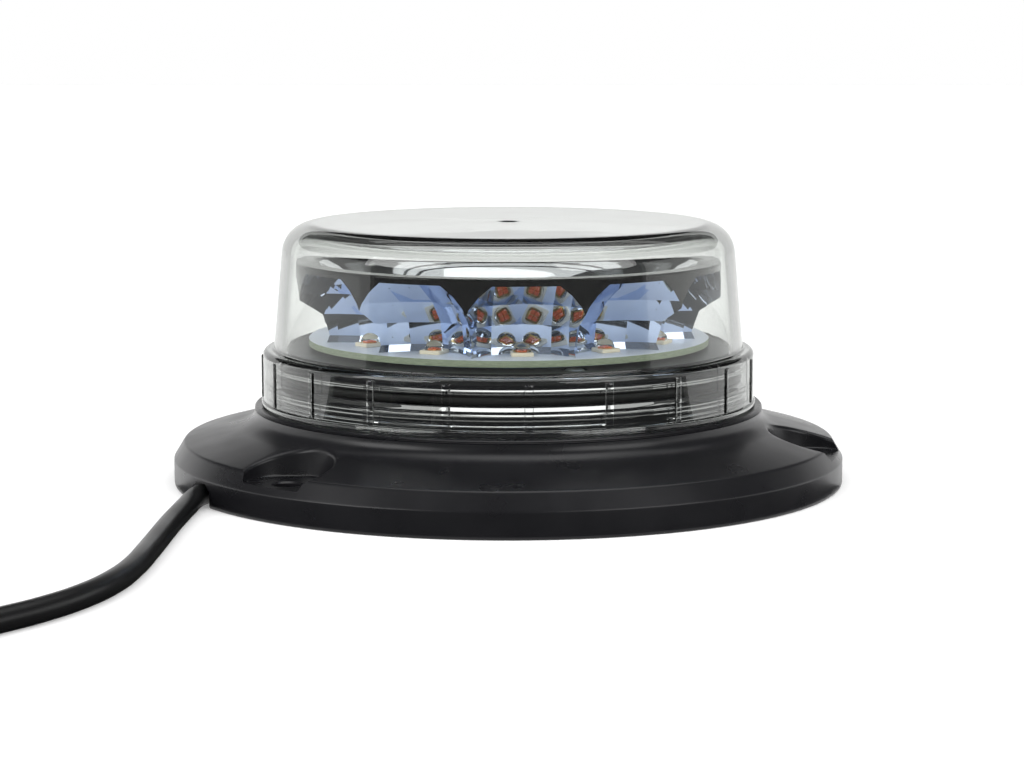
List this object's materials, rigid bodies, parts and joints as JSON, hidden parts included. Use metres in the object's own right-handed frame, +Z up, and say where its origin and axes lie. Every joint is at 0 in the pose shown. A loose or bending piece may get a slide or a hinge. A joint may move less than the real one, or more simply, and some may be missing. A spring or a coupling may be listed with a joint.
{
  "type": "led warning beacon",
  "caption": "Low-profile round LED warning beacon: clear twist-off lens over a faceted scoop reflector, black bolt-down flanged base, cable leaving under the rim.",
  "frame": {"origin": "centre of the flange at its mounting face, without the cable", "axes": "+Z up along the lens axis, front along -Y, right along +X"},
  "size_m": [0.2508, 0.288, 0.0625],
  "materials": {
    "housing": "black glass-filled nylon, satin as moulded",
    "plate": "turned aluminium plate",
    "lens": "clear moulded polycarbonate",
    "seal": "matt black rubber",
    "pad": "grey gap pad",
    "board": "white solder mask on glass fibre",
    "mirror": "vacuum metallised plastic",
    "driver": "green solder mask on glass fibre",
    "steel": "zinc plated",
    "ferrite": "ferrite",
    "can": "sleeved can",
    "chip": "moulded epoxy",
    "terminal": "nylon",
    "cover": "black plastic",
    "led": "white package under a clear silicone dome",
    "cable": "black flexible jacket",
    "core_red": "red insulation",
    "core_black": "black insulation",
    "core_yellow": "yellow insulation"
  },
  "bodies": {
    "base": {"base_housing": "housing", "spigot": "housing", "heat_plate": "plate", "lens_seal": "seal", "thermal_pad": "pad", "led_board": "board", "reflector": "mirror", "driver_board": "driver", "supply_pin_1": "steel", "supply_pin_2": "steel", "inductor": "ferrite", "capacitor_1": "can", "capacitor_2": "can", "controller": "chip", "terminal_block": "terminal", "bottom_cover": "cover", "cover_gasket": "seal", "vent_plug": "seal", "cable_gland": "seal", "cable_inner": "cable", "inner_core_red": "core_red", "inner_core_black": "core_black", "inner_core_yellow": "core_yellow", "cable": "cable", "cable_coil": "cable", "free_core_red": "core_red", "free_core_black": "core_black", "free_core_yellow": "core_yellow", "cover_screw_1": "steel", "cover_screw_2": "steel", "cover_screw_3": "steel", "driver_screw_1": "steel", "driver_screw_2": "steel", "driver_screw_3": "steel", "plate_screw_1": "steel", "plate_screw_2": "steel", "plate_screw_3": "steel", "reflector_screw_1": "steel", "reflector_screw_2": "steel", "reflector_screw_3": "steel", "led_01": "led", "led_02": "led", "led_03": "led", "led_04": "led", "led_05": "led", "led_06": "led", "led_07": "led", "led_08": "led", "led_09": "led", "led_10": "led", "led_11": "led", "led_12": "led"},
    "lens_cap": {"lens": "lens"}
  },
  "joints": [
    {"name": "lens_turn", "type": "hinge", "parent": "base", "child": "lens_cap", "pos_m": [0, 0, 0], "axis": [0, 0, 1], "range_deg": [0, 24]}
  ]
}
